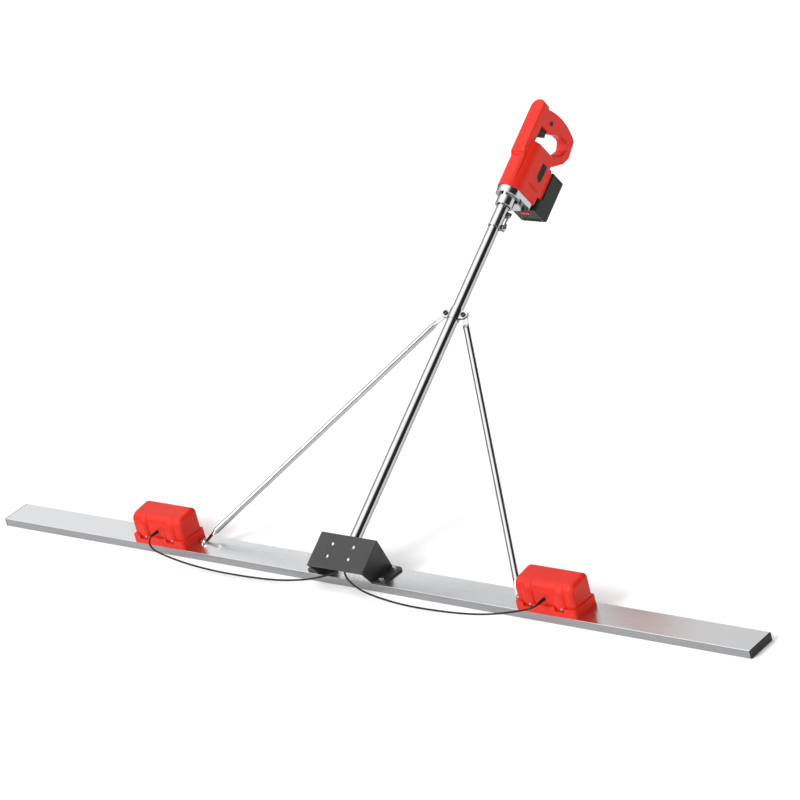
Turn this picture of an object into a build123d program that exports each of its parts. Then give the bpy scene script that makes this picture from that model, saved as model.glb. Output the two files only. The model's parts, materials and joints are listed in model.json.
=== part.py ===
from build123d import *
import math
import os

# Cordless power screed: a hollow board with two vibrator units, a folded bracket, a braced pole
# and a battery power head with a D-handle.
# Frame: millimetres, +X along the board, +Z up, origin at the centre of the board's sole.
# The pole and the head are drawn in the pole's own frame: Z up along the pole, X across the
# screed, Y towards the underside, where the battery hangs.

# ---------------------------------------------------------------- driving dimensions
BOARD_LENGTH = 2500.0
BOARD_WIDTH = 88.0
BOARD_HEIGHT = 21.4
BOARD_WALL = 2.2
CAP_THICKNESS = 3.0

POLE_SLOPE = 33.09
POLE_FOOT_Y = -84.6
POLE_RADIUS = 15.0
POLE_WALL = 2.0
POLE_START = 60.0
POLE_END = 1099.0

SHEET = 4.5
BRACKET_HALF_WIDTH = 93.7
PLATE_LOW = 36.1
PLATE_HIGH = 132.8
PLATE_OFFSET = 25.3
BRACKET_TOE_Y = -40.5
BRACKET_HEEL_Y = 44.0
TAB_HALF_WIDTH = 131.0
FOOT_BOLTS = [(side * 112.0, y) for side in (-1, 1) for y in (-24.0, 31.0)]
PLATE_SCREWS = [(x, z) for x in (-39.5, 30.5) for z in (69.5, 104.6)]
BLOCK_HALF_WIDTH = 46.0
BLOCK_LOW = 60.0
BLOCK_HIGH = 114.0
BLOCK_DEPTH = 20.0

COLLAR_HEIGHT = 800.7
COLLAR_LENGTH = 32.0
COLLAR_BOLT_X = 29.4
EAR_RADIUS = 12.0
STRUT_RADIUS = 8.0
STRUT_WALL = 1.5
BLADE_WIDTH = 18.0
BLADE_THICKNESS = 3.0
STRUT_FOOT_X = 534.0
STRUT_FOOT_Y = 5.4
BLADE_LENGTH = 46.0
KNEE = 8.0

UNIT_X = 652.0
COVER_LENGTH = 185.0
COVER_FRONT_Y = -37.0
COVER_BACK_Y = 40.0
COVER_FRONT_TOP = 81.0
COVER_BACK_TOP = 88.0
COVER_WALL = 3.0
FLANGE_HEIGHT = 24.0
FLANGE_LEDGE = 3.5
RIB_X = 48.0
RIB_HALF_WIDTH = 17.0
RIB_TOP = 83.5
POCKET_FLOOR_Y = 36.5
SCREW_HEIGHT = 19.5
MOTOR_AXIS_HEIGHT = 42.0
MOTOR_RADIUS = 26.0
MOTOR_HALF_LENGTH = 45.0
SHAFT_RADIUS = 4.0
CORD_HEIGHT = 40.6
BOOT_LENGTH = 24.0

CORD_RADIUS = 2.5

SLEEVE_LOW = 1066.0
SLEEVE_HIGH = 1129.0
SLEEVE_RADIUS = 16.8
CLAMP_ANGLE = 45.0

CASTING_LOW = 1130.5
RING_LOW = 1160.0
NECK_RADIUS = 24.0
SPIGOT_RADIUS = POLE_RADIUS - 0.06
SPIGOT_HIGH = 1156.0
BODY_LOW = 1180.0
BODY_TOP = 1330.0
BODY_DIP_TOP = 1323.0
BODY_RADIUS = 37.0
BODY_BOTTOM_Y = 70.0
SKIRT_Y = 84.0
SKIRT_INNER_X = 30.0
SKIRT_LOW = 1205.0
SKIRT_HIGH = 1292.0
SHELL_WALL = 3.0
HANDLE_HALF_WIDTH = 18.5
SPINE_HALF_WIDTH = 22.0
SPINE_FRONT_Y = -41.0
SPINE_BACK_Y = -15.0
SPINE_LOW = 1297.0
TONGUE_CENTRE = 1421.0
GRIP_INNER = 1378.0
TRIGGER_Y = 9.0
BUTTON_Y = 20.0
BUTTON_Z = 1404.0
BUTTON_RADIUS = 6.5

BATTERY_HALF_WIDTH = 42.0
BATTERY_TOP_Y = 72.0
LID_DEPTH = 15.0
BATTERY_BOTTOM_Y = 138.0
BATTERY_LOW = 1167.0
BATTERY_HIGH = 1290.0
RELEASE_HALF_WIDTH = 15.0
BUTTON_NEAR_Y = 83.5
BUTTON_FAR_Y = 93.5
DOCK_LOW = 1184.0
DOCK_HIGH = 1288.0

# Free cords, as the points that their runs meet at.
GLAND_Y = -12.5
CORD_LEFT_X = 8.0
CORD_RIGHT_X = 24.0
CORD_RIGHT_ROUTE = [
    (652.0, -61.0, 62.0),
    (651.2, -71.0, 61.5),
    (646.0, -79.0, 60.0),
    (635.0, -84.0, 57.0),
    (616.0, -87.5, 52.5),
    (587.0, -91.0, 45.5),
    (551.0, -95.0, 38.0),
    (507.0, -98.5, 30.5),
    (456.0, -101.5, 25.0),
    (398.0, -103.0, 21.0),
    (340.0, -103.0, 18.5),
    (283.0, -102.0, 16.5),
    (229.0, -99.5, 16.5),
    (179.0, -95.5, 18.0),
    (135.0, -90.5, 20.5),
    (101.0, -85.5, 24.0),
    (76.0, -80.5, 29.0),
    (57.0, -76.0, 35.5),
    (43.0, -71.5, 42.5),
    (33.5, -66.5, 49.0),
    (27.5, -61.5, 53.0),
    (24.0, -54.6, 55.9),
]
CORD_LEFT_ROUTE = [
    (-652.0, -61.0, 62.0),
    (-651.5, -69.5, 58.0),
    (-650.5, -76.0, 51.0),
    (-646.5, -79.0, 42.5),
    (-637.5, -80.5, 34.5),
    (-621.0, -81.5, 28.5),
    (-594.0, -83.0, 23.0),
    (-555.0, -85.5, 17.5),
    (-508.0, -88.5, 13.5),
    (-452.0, -91.0, 10.5),
    (-394.0, -92.0, 9.0),
    (-336.0, -91.5, 8.5),
    (-279.0, -90.0, 9.0),
    (-224.0, -87.5, 10.0),
    (-172.0, -84.0, 13.5),
    (-124.0, -81.0, 20.0),
    (-84.0, -78.5, 27.5),
    (-51.0, -76.0, 36.5),
    (-26.0, -72.0, 44.0),
    (-7.5, -67.0, 49.5),
    (3.5, -61.5, 53.0),
    (8.0, -54.6, 55.9),
]

slope = math.radians(POLE_SLOPE)
POLE = Plane(
    origin=(0, POLE_FOOT_Y, BOARD_HEIGHT),
    x_dir=(1, 0, 0),
    z_dir=(0, math.cos(slope), math.sin(slope)),
).location
LOW = (Align.CENTER, Align.CENTER, Align.MIN)


# ---------------------------------------------------------------- small helpers
def block(x0, x1, y0, y1, z0, z1):
    """Box between two corners."""
    return Pos(x0, y0, z0) * Box(x1 - x0, y1 - y0, z1 - z0, align=(Align.MIN, Align.MIN, Align.MIN))


def rod(radius, z0, z1, x=0.0, y=0.0):
    """Cylinder along Z."""
    return Pos(x, y, z0) * Cylinder(radius, z1 - z0, align=LOW)


def rod_x(radius, x0, x1, y=0.0, z=0.0):
    """Cylinder along X."""
    return Pos(x0, y, z) * Rot(0, 90, 0) * Cylinder(radius, x1 - x0, align=LOW)


def rod_y(radius, y0, y1, x=0.0, z=0.0):
    """Cylinder along Y."""
    return Pos(x, y0, z) * Rot(-90, 0, 0) * Cylinder(radius, y1 - y0, align=LOW)


def face_of(points, radii=None):
    """Polygon face in the XY plane; radii maps a point's number to its corner radius."""
    face = make_face(Polyline(*points, close=True))
    for number, radius in (radii or {}).items():
        corner = Vector(*points[number])
        vertex = face.vertices().sort_by_distance(corner)[0]
        face = fillet(vertex, radius)
    return face


def side_prism(face, half_width, x=0.0):
    """Extrude a face drawn as (y, z) equally to both sides of the plane X = x."""
    return extrude(Pos(x, 0, 0) * Plane.YZ.location * face, amount=half_width, both=True)


def hexagon(across_flats, z0, z1, x=0.0, y=0.0):
    """Hexagonal prism along Z."""
    outline = RegularPolygon(across_flats / 2, 6, major_radius=False)
    return Pos(x, y, z0) * extrude(outline, amount=z1 - z0)


def only_solid(shape):
    """The one solid of a shape that should be a single piece."""
    solids = shape.solids()
    if len(solids) != 1:
        raise ValueError(f"expected one solid, found {len(solids)}")
    return solids[0]


def save(name, shape):
    """Write one node, a single solid or a group of separate solids."""
    solids = shape if isinstance(shape, list) else shape.solids()
    group = solids[0] if len(solids) == 1 else Compound(children=list(solids))
    export_step(group, f"parts/{name}.step")


# ---------------------------------------------------------------- board
def board_extrusion():
    half = BOARD_LENGTH / 2 - CAP_THICKNESS
    outer = RectangleRounded(BOARD_WIDTH, BOARD_HEIGHT, 1.0)
    cell_width = (BOARD_WIDTH - 3 * BOARD_WALL) / 2
    cell = Rectangle(cell_width, BOARD_HEIGHT - 2 * BOARD_WALL)
    shift = (cell_width + BOARD_WALL) / 2
    section = outer - Pos(shift, 0) * cell - Pos(-shift, 0) * cell
    body = extrude(Pos(0, 0, BOARD_HEIGHT / 2) * Plane.YZ.location * section, amount=half, both=True)
    top = BOARD_HEIGHT - BOARD_WALL - 1
    for x, y in FOOT_BOLTS:
        body -= rod(4.1, top, BOARD_HEIGHT + 1, x, y)
    for side in (-1, 1):
        body -= rod(4.1, top, BOARD_HEIGHT + 1, side * STRUT_FOOT_X, STRUT_FOOT_Y)
        for x, y in BASE_BOLTS:
            body -= rod(3.1, top, BOARD_HEIGHT + 1, side * UNIT_X + x, y)
    return body


def end_cap(side):
    edge = BOARD_LENGTH / 2
    flange = block(edge - CAP_THICKNESS, edge, -BOARD_WIDTH / 2, BOARD_WIDTH / 2, 0, BOARD_HEIGHT)
    flange = fillet(flange.edges().filter_by(Axis.X), 1.0)
    flange = chamfer(flange.faces().sort_by(Axis.X)[-1].edges(), 0.8)
    plug_width = (BOARD_WIDTH - 3 * BOARD_WALL) / 2 - 0.4
    low = BOARD_WALL + 0.2
    for centre in (-1, 1):
        y = centre * (plug_width / 2 + 0.2 + BOARD_WALL / 2)
        flange += block(
            edge - CAP_THICKNESS - 18, edge - CAP_THICKNESS,
            y - plug_width / 2, y + plug_width / 2, low, BOARD_HEIGHT - low,
        )
    return flange if side > 0 else mirror(flange, Plane.YZ)


# ---------------------------------------------------------------- bracket
def pole_point(y, z):
    """Board-frame (y, z) of a point given in the pole's frame."""
    return (
        POLE_FOOT_Y + z * math.cos(slope) + y * math.sin(slope),
        BOARD_HEIGHT + z * math.sin(slope) - y * math.cos(slope),
    )


def bracket():
    top = pole_point(-PLATE_OFFSET, PLATE_HIGH)
    bottom = pole_point(-PLATE_OFFSET, PLATE_LOW)
    side_outline = [top, bottom, (BRACKET_TOE_Y, BOARD_HEIGHT), (BRACKET_HEEL_Y, BOARD_HEIGHT)]
    solid = side_prism(face_of(side_outline), BRACKET_HALF_WIDTH)
    inner = side_prism(face_of(side_outline), BRACKET_HALF_WIDTH - SHEET)
    under_plate = POLE * block(-200, 200, -PLATE_OFFSET + SHEET, 200, -100, 300)
    sheet = solid - (inner & under_plate)
    bends = sheet.edges().filter_by(lambda edge: abs(edge.center().X) > BRACKET_HALF_WIDTH - 0.1)
    fold = [edge for edge in bends if edge.length > 90 and on_plate(edge.center())]
    sheet = fillet(fold, 2.5)
    for side in (-1, 1):
        tab = block(
            BRACKET_HALF_WIDTH - 1, TAB_HALF_WIDTH, BRACKET_TOE_Y, BRACKET_HEEL_Y,
            BOARD_HEIGHT, BOARD_HEIGHT + SHEET,
        )
        corners = tab.edges().filter_by(Axis.Z).sort_by(Axis.X)[-2:]
        tab = fillet(corners, 13.0)
        sheet += tab if side > 0 else mirror(tab, Plane.YZ)
    for x, y in FOOT_BOLTS:
        sheet -= rod(4.2, BOARD_HEIGHT - 1, BOARD_HEIGHT + SHEET + 1, x, y)
    for x, z in PLATE_SCREWS:
        sheet -= POLE * rod_y(3.2, -PLATE_OFFSET - 1, -PLATE_OFFSET + SHEET + 1, x, z)
    return sheet


def on_plate(point):
    """True for a point on the front plate's outer face."""
    top = pole_point(-PLATE_OFFSET, PLATE_HIGH)
    bottom = pole_point(-PLATE_OFFSET, PLATE_LOW)
    middle = Vector(0, (top[0] + bottom[0]) / 2, (top[1] + bottom[1]) / 2)
    return Vector(0, point.Y, point.Z).sub(middle).length < 5


def bracket_foot_bolts():
    bolts = []
    seat = BOARD_HEIGHT + SHEET
    for x, y in FOOT_BOLTS:
        washer = rod(8.0, seat, seat + 1.4, x, y)
        head = hexagon(13, seat + 1.4, seat + 6.8, x, y)
        head &= Pos(x, y, seat + 1.4) * Cone(9.4, 6.4, 5.4, align=LOW)
        bolts.append(only_solid(washer + head + rod(4.0, BOARD_HEIGHT - 9, seat + 2, x, y)))
    return bolts


def plate_screws():
    screws = []
    for x, z in PLATE_SCREWS:
        dome = Sphere(7.3) & block(-8, 8, -8, 8, 4.8, 8)
        dome -= hexagon(3.4, 6.3, 9)
        shank = rod(3.0, -14, 5.0)
        screw = Pos(x, -PLATE_OFFSET + 4.8, z) * Rot(90, 0, 0) * (dome + shank)
        screws.append(only_solid(POLE * screw))
    return screws


def pole_clamp_block():
    depth_top = -PLATE_OFFSET + SHEET
    body = block(-BLOCK_HALF_WIDTH, BLOCK_HALF_WIDTH, depth_top, BLOCK_DEPTH, BLOCK_LOW, BLOCK_HIGH)
    body = fillet(body.edges().filter_by(Axis.Z), 4.0)
    body -= rod(POLE_RADIUS, BLOCK_LOW - 1, BLOCK_HIGH + 1)
    body -= block(-1, 1, 0, BLOCK_DEPTH + 1, BLOCK_LOW - 1, BLOCK_HIGH + 1)
    for x, z in PLATE_SCREWS:
        body -= rod_y(3.1, depth_top - 1, depth_top + 17, x, z)
    return POLE * body


def junction_box():
    middle = (CORD_LEFT_X + CORD_RIGHT_X) / 2
    body = block(middle - 25, middle + 25, -PLATE_OFFSET + SHEET + 0.8, 14, 50, BLOCK_LOW)
    body = fillet(body.edges().filter_by(Axis.Z), 3.0)
    for x in (CORD_LEFT_X, CORD_RIGHT_X):
        body -= rod(3.5, 49, 55, x, GLAND_Y)
    return POLE * body


def junction_glands():
    glands = []
    for x in (CORD_LEFT_X, CORD_RIGHT_X):
        gland = hexagon(11, 46.4, 50, x, GLAND_Y) + rod(3.4, 50, 54.6, x, GLAND_Y)
        gland += Pos(x, GLAND_Y, 44) * Cone(4.2, 5.4, 2.4, align=LOW)
        glands.append(only_solid(POLE * gland))
    return glands


# ---------------------------------------------------------------- pole and struts
def pole_tube():
    tube = rod(POLE_RADIUS, POLE_START, POLE_END)
    return POLE * (tube - rod(POLE_RADIUS - POLE_WALL, POLE_START - 1, POLE_END + 1))


def strut_collar(side):
    """Half of the collar; side -1 is the upper half, 1 the lower half."""
    low = COLLAR_HEIGHT - COLLAR_LENGTH / 2
    high = COLLAR_HEIGHT + COLLAR_LENGTH / 2
    gap = BLADE_THICKNESS / 2
    band = rod(POLE_RADIUS + 2.0, low, high)
    for x in (-COLLAR_BOLT_X, COLLAR_BOLT_X):
        ear = rod_y(EAR_RADIUS, -gap - 3, gap + 3, x, COLLAR_HEIGHT)
        arm = block(min(0, x), max(0, x), -gap - 3, gap + 3,
                    COLLAR_HEIGHT - EAR_RADIUS, COLLAR_HEIGHT + EAR_RADIUS)
        band += ear + arm
    band -= rod(POLE_RADIUS, low - 1, high + 1)
    for x in (-COLLAR_BOLT_X, COLLAR_BOLT_X):
        band -= rod_y(4.2, -10, 10, x, COLLAR_HEIGHT)
    far = 60
    keep = block(-far, far, gap, far, low - 5, high + 5)
    if side < 0:
        keep = block(-far, far, -far, -gap, low - 5, high + 5)
    return POLE * (band & keep)


def collar_bolts():
    bolts = []
    seat = BLADE_THICKNESS / 2 + 3
    for x in (-COLLAR_BOLT_X, COLLAR_BOLT_X):
        head = rod_y(6.5, -seat - 4, -seat, x, COLLAR_HEIGHT)
        head = fillet(head.edges().filter_by(GeomType.CIRCLE).sort_by(Axis.Y)[0], 1.2)
        socket = Pos(x, -seat - 5, COLLAR_HEIGHT) * Rot(-90, 0, 0) * hexagon(6, 0, 3.4)
        shank = rod_y(4.0, -seat - 1, seat + 9, x, COLLAR_HEIGHT)
        bolts.append(only_solid(POLE * (head - socket + shank)))
    return bolts


def collar_nuts():
    nuts = []
    seat = BLADE_THICKNESS / 2 + 3
    for x in (-COLLAR_BOLT_X, COLLAR_BOLT_X):
        nut = Pos(x, seat, COLLAR_HEIGHT) * Rot(-90, 0, 0) * hexagon(13, 0, 6.5)
        nut -= rod_y(4.0, seat - 1, seat + 8, x, COLLAR_HEIGHT)
        nuts.append(only_solid(POLE * nut))
    return nuts


def strut():
    """Right-hand strut: a tube whose flattened ends are bolted to the collar and the board."""
    top_y, top_z = pole_point(0, COLLAR_HEIGHT)
    top = Vector(COLLAR_BOLT_X, top_y, top_z)
    foot = Vector(STRUT_FOOT_X, STRUT_FOOT_Y, BOARD_HEIGHT + BLADE_THICKNESS / 2)
    along = (foot - top).normalized()
    level = Vector(along.X, along.Y, 0).normalized()
    across = Vector(level.Y, -level.X, 0)
    tube_top = top + along * BLADE_LENGTH
    tube_foot = foot - along * BLADE_LENGTH
    axis = (tube_foot - tube_top).normalized()
    length = (tube_foot - tube_top).length
    lower = Plane(origin=tube_top, x_dir=across, z_dir=axis).location
    tube = lower * (rod(STRUT_RADIUS, 0, length) - rod(STRUT_RADIUS - STRUT_WALL, 3, length - 3))

    neck = 14.0
    foot_taper = loft([
        lower * Pos(0, 0, length) * Circle(STRUT_RADIUS),
        lower * Pos(0, 0, length + neck) * Ellipse(BLADE_WIDTH / 2, BLADE_THICKNESS / 2 + 0.3),
    ])
    knee = foot - level * KNEE
    end = tube_foot + axis * (neck - 1)
    run = (knee - end).dot(level)
    drop = end.Z - knee.Z
    thick = BLADE_THICKNESS
    strip = [
        (0, -thick / 2), (0, thick / 2), (-KNEE, thick / 2),
        (-KNEE - run, drop + thick / 2), (-KNEE - run, drop - thick / 2), (-KNEE, -thick / 2),
    ]
    foot_plane = Plane(origin=foot, x_dir=level, z_dir=across)
    if foot_plane.y_dir.Z < 0:
        strip = [(x, -z) for x, z in strip]
    blade = extrude(foot_plane.location * face_of(strip), amount=BLADE_WIDTH / 2, both=True)
    pad = Pos(*foot) * Cylinder(BLADE_WIDTH / 2, BLADE_THICKNESS)

    frame_axis = POLE.orientation
    eye = Pos(*top) * Rot(*frame_axis) * Rot(90, 0, 0) * Cylinder(EAR_RADIUS - 1.5, BLADE_THICKNESS)
    in_plane = Vector(along)
    normal = Vector(0, math.sin(slope), -math.cos(slope))
    flat = (in_plane - normal * in_plane.dot(normal)).normalized()
    reach = BLADE_LENGTH - neck + 1
    tang_frame = Plane(origin=top + flat * (reach / 2), x_dir=flat, z_dir=normal).location
    tang = tang_frame * Box(reach, BLADE_WIDTH, BLADE_THICKNESS)
    top_taper = loft([
        lower * Circle(STRUT_RADIUS),
        Plane(origin=top + flat * (reach - 1), x_dir=normal.cross(flat), z_dir=flat).location
        * Ellipse(BLADE_WIDTH / 2, BLADE_THICKNESS / 2 + 0.3),
    ])
    solid = tube + foot_taper + blade + pad + eye + tang + top_taper
    solid -= Pos(*foot) * Cylinder(4.2, 20)
    solid -= Pos(*top) * Rot(*frame_axis) * Rot(90, 0, 0) * Cylinder(4.2, 20)
    return only_solid(solid)


def strut_foot_bolts():
    bolts = []
    seat = BOARD_HEIGHT + BLADE_THICKNESS
    for x in (-STRUT_FOOT_X, STRUT_FOOT_X):
        washer = rod(7.4, seat, seat + 1.4, x, STRUT_FOOT_Y)
        head = hexagon(13, seat + 1.4, seat + 6.8, x, STRUT_FOOT_Y)
        head &= Pos(x, STRUT_FOOT_Y, seat + 1.4) * Cone(9.4, 6.4, 5.4, align=LOW)
        shank = rod(4.0, BOARD_HEIGHT - 9, seat + 2, x, STRUT_FOOT_Y)
        bolts.append(only_solid(washer + head + shank))
    return bolts


# ---------------------------------------------------------------- vibrator units
BASE_BOLTS = [(x, y) for x in (-72.0, 72.0) for y in (-18.0, 18.0)]


def cover_form(inset):
    """Outer form of the cover, or with an inset the room inside it."""
    half = COVER_LENGTH / 2 - inset
    flange = RectangleRounded(2 * half, BOARD_WIDTH - 2 * inset, 9.0 - inset)
    flange = extrude(flange, amount=FLANGE_HEIGHT - inset)
    front = COVER_FRONT_Y + inset
    back = COVER_BACK_Y - inset
    low = FLANGE_HEIGHT - inset - 2
    side = face_of(
        [(front, low), (front, COVER_FRONT_TOP - inset), (22.0, COVER_BACK_TOP - inset),
         (back, COVER_BACK_TOP - inset), (back, low)],
        {1: 24.0 - inset, 3: 14.0 - inset},
    )
    upper = side_prism(side, half - FLANGE_LEDGE)
    ends = [edge for edge in upper.edges() if abs(edge.center().X) > half - FLANGE_LEDGE - 0.1]
    upper = fillet([edge for edge in ends if edge.center().Z > low + 0.1], 12.0 - inset)
    return flange + upper


def cover_rib(x):
    """Rounded rib that follows the front face and fades into the rounded top."""
    near = -BOARD_WIDTH / 2
    low = FLANGE_HEIGHT - 8
    side = face_of([(near, low), (near, RIB_TOP), (-8, RIB_TOP), (-8, low)], {1: 30.0})
    rib = side_prism(side, RIB_HALF_WIDTH)
    ends = [edge for edge in rib.edges() if abs(edge.center().X) > RIB_HALF_WIDTH - 0.1]
    rib = fillet([edge for edge in ends if edge.center().Y < -9 and edge.center().Z > low + 0.1], 11.0)
    return Pos(x, 0, 0) * rib


def across(side, near, far, x0, x1, z0, z1):
    """Block between two distances from the middle, on the front (-1) or back (1)."""
    return block(x0, x1, min(side * near, side * far), max(side * near, side * far), z0, z1)


def vibrator_cover():
    shape = cover_form(0)
    ledge = [edge for edge in shape.edges() if is_rim(edge)]
    shape = fillet(ledge, 2.0)
    room = cover_form(COVER_WALL)
    for x in (-RIB_X, RIB_X):
        shape += cover_rib(x)
        for side in (-1, 1):
            room -= across(side, POCKET_FLOOR_Y - 3, 60, x - 21, x + 15, -1, 28.5)
    shape -= room
    for x in (-RIB_X, RIB_X):
        for side in (-1, 1):
            pocket = across(side, POCKET_FLOOR_Y, 60, x - 18, x + 12, 13.5, 25.5)
            shape -= fillet(pocket.edges().filter_by(Axis.Y), 3.5)
        shape -= rod_y(2.6, -40, 40, x, SCREW_HEIGHT)
    shape -= rod_y(3.6, -BOARD_WIDTH / 2 - 1, -25, 0, CORD_HEIGHT)
    return only_solid(shape)


def is_rim(edge):
    """True for the flange's upper rim, False for the foot of the upper part."""
    centre = edge.center()
    outside = abs(centre.X) > COVER_LENGTH / 2 - 3 or abs(centre.Y) > BOARD_WIDTH / 2 - 3
    return outside and abs(centre.Z - FLANGE_HEIGHT) < 0.1


def vibrator_base():
    plate = block(-80, 80, -30, 30, 0, 3)
    plate = fillet(plate.edges().filter_by(Axis.Z), 5.0)
    for x in (-RIB_X, RIB_X):
        for side in (-1, 1):
            ear = block(x - 9, x + 9, 27, 30, 0, 27)
            ear -= rod_y(2.2, 20, 40, x, SCREW_HEIGHT)
            plate += ear if side > 0 else mirror(ear, Plane.XZ)
    for x, y in BASE_BOLTS:
        plate -= rod(3.2, -1, 4, x, y)
    return only_solid(plate)


def vibrator_base_bolts():
    bolts = []
    for x, y in BASE_BOLTS:
        bolt = rod(5.0, 3, 7.5, x, y) + rod(3.0, -9, 4, x, y)
        bolt -= hexagon(4, 5, 8, x, y)
        bolts.append(only_solid(bolt))
    return bolts


def vibrator_cover_screws():
    screws = []
    for x in (-RIB_X, RIB_X):
        for side in (-1, 1):
            seat = POCKET_FLOOR_Y
            dome = rod_y(4.6, seat, seat + 2.8, x, SCREW_HEIGHT)
            dome = fillet(dome.edges().filter_by(GeomType.CIRCLE).sort_by(Axis.Y)[-1], 1.6)
            dome -= block(x - 0.6, x + 0.6, seat + 1.6, seat + 4, SCREW_HEIGHT - 3, SCREW_HEIGHT + 3)
            dome -= block(x - 3, x + 3, seat + 1.6, seat + 4, SCREW_HEIGHT - 0.6, SCREW_HEIGHT + 0.6)
            screw = dome + rod_y(2.1, seat - 13, seat + 0.5, x, SCREW_HEIGHT)
            screws.append(only_solid(screw if side > 0 else mirror(screw, Plane.XZ)))
    return screws


def vibrator_motor():
    can = rod_x(MOTOR_RADIUS, -MOTOR_HALF_LENGTH, MOTOR_HALF_LENGTH, 0, MOTOR_AXIS_HEIGHT)
    can = chamfer(can.edges().filter_by(GeomType.CIRCLE), 2.0)
    can -= rod_x(MOTOR_RADIUS - 3, -MOTOR_HALF_LENGTH + 8, MOTOR_HALF_LENGTH - 8, 0, MOTOR_AXIS_HEIGHT)
    for side in (-1, 1):
        inner = side * (MOTOR_HALF_LENGTH - 9)
        outer = side * (MOTOR_HALF_LENGTH - 2)
        can -= rod_x(11.0, min(inner, outer), max(inner, outer), 0, MOTOR_AXIS_HEIGHT)
        mouth = side * (MOTOR_HALF_LENGTH + 1)
        can -= rod_x(6.0, min(inner, mouth), max(inner, mouth), 0, MOTOR_AXIS_HEIGHT)
    return only_solid(can)


def vibrator_bearings():
    rings = []
    for side in (-1, 1):
        inner = side * (MOTOR_HALF_LENGTH - 9)
        outer = side * (MOTOR_HALF_LENGTH - 2)
        ring = rod_x(11.0, min(inner, outer), max(inner, outer), 0, MOTOR_AXIS_HEIGHT)
        ring -= rod_x(SHAFT_RADIUS + 0.05, -80, 80, 0, MOTOR_AXIS_HEIGHT)
        rings.append(only_solid(ring))
    return rings


def vibrator_saddle():
    high = MOTOR_AXIS_HEIGHT + MOTOR_RADIUS + 3
    body = block(-22, 22, -29.5, 29.5, 3, MOTOR_AXIS_HEIGHT)
    body -= block(-23, 23, -26.4, 26.4, 7, MOTOR_AXIS_HEIGHT + 1)
    body += block(-22, 22, -20, 20, 6, 24)
    body += rod_x(MOTOR_RADIUS + 3, -22, 22, 0, MOTOR_AXIS_HEIGHT) & block(
        -22, 22, -30, 30, MOTOR_AXIS_HEIGHT - 1, high + 1)
    body -= rod_x(MOTOR_RADIUS, -30, 30, 0, MOTOR_AXIS_HEIGHT)
    return only_solid(body)


def rotor_shaft():
    shaft = rod_x(SHAFT_RADIUS, -74, 74, 0, MOTOR_AXIS_HEIGHT)
    core = rod_x(20.0, -30, 30, 0, MOTOR_AXIS_HEIGHT)
    return only_solid(shaft + core)


def eccentric_weights():
    weights = []
    for side in (-1, 1):
        inner = side * 56.0
        outer = side * 70.0
        x0 = min(inner, outer)
        x1 = max(inner, outer)
        weight = rod_x(25.0, x0, x1, 0, MOTOR_AXIS_HEIGHT)
        weight -= block(x0 - 1, x1 + 1, -30, 30, MOTOR_AXIS_HEIGHT, MOTOR_AXIS_HEIGHT + 30)
        weight += rod_x(9.0, x0, x1, 0, MOTOR_AXIS_HEIGHT)
        weight -= rod_x(SHAFT_RADIUS, x0 - 1, x1 + 1, 0, MOTOR_AXIS_HEIGHT)
        weights.append(only_solid(weight))
    return weights


def cable_boot():
    wall = COVER_FRONT_Y
    boot = rod_y(3.6, wall - 1, wall + 6, 0, CORD_HEIGHT)
    boot += rod_y(6.0, wall + COVER_WALL, wall + COVER_WALL + 2, 0, CORD_HEIGHT)
    boot += Pos(0, wall, CORD_HEIGHT) * Rot(90, 0, 0) * Cone(4.6, 3.1, BOOT_LENGTH, align=LOW)
    for step in range(3):
        y = wall - 6 - 5 * step
        groove = rod_y(9, y - 1, y, 0, CORD_HEIGHT) - rod_y(3.7 - 0.3 * step, y - 2, y + 1, 0, CORD_HEIGHT)
        boot -= groove
    return only_solid(boot)


# ---------------------------------------------------------------- cords
def cord(name, route):
    """Round cord along runs that meet in arcs as large as the runs allow."""
    points = [Vector(*point) for point in route]
    radii = []
    for before, here, after in zip(points, points[1:], points[2:]):
        arrive = here - before
        leave = after - here
        turn = math.radians(arrive.get_angle(leave))
        shorter = min(arrive.length, leave.length)
        radii.append(0.45 * shorter / math.tan(turn / 2))
    path = FilletPolyline(*points, radius=radii)
    start = Plane(origin=points[0], z_dir=points[1] - points[0])
    tube = sweep(start.location * Circle(CORD_RADIUS), path=path)
    ideal = math.pi * CORD_RADIUS ** 2 * path.length
    print(f"{name}: length {path.length:.0f}, tightest radius {min(radii):.0f}, "
          f"volume ratio {tube.volume / ideal:.3f}")
    return tube


# ---------------------------------------------------------------- clamp sleeve on the pole's top
CLAMP = POLE * Rot(0, 0, CLAMP_ANGLE)


def clamp_sleeve():
    """Split sleeve; in the clamp's frame X is outwards through the slit."""
    body = rod(SLEEVE_RADIUS, SLEEVE_LOW, SLEEVE_HIGH)
    body += rod(SLEEVE_RADIUS + 1.4, SLEEVE_LOW, SLEEVE_LOW + 4)
    body += rod(SLEEVE_RADIUS + 1.0, SLEEVE_HIGH - 3, SLEEVE_HIGH)
    lower = [(12, 1067), (29, 1067), (29, 1082), (20, 1082), (12, 1080)]
    upper = [(12, 1106), (20, 1106), (29, 1113), (29, 1120), (12, 1120)]
    for outline, low, high in ((lower, 1.0, 6.0), (upper, 4.3, 7.3)):
        for side in (-1, 1):
            plate = extrude(Plane.XZ.location * face_of(outline), amount=high - low)
            plate = Pos(0, -low, 0) * plate
            body += plate if side < 0 else mirror(plate, Plane.XZ)
    body -= rod(POLE_RADIUS, SLEEVE_LOW - 1, POLE_END + 0.5)
    body -= rod(POLE_RADIUS, POLE_END, SLEEVE_HIGH + 1)
    body -= block(0, 40, -1, 1, SLEEVE_LOW - 1, SLEEVE_HIGH + 1)
    body -= rod_y(2.6, -20, 20, 24.0, 1073.0)
    body -= rod_y(2.0, -20, 20, 23.0, 1113.0)
    return only_solid(CLAMP * body)


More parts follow.
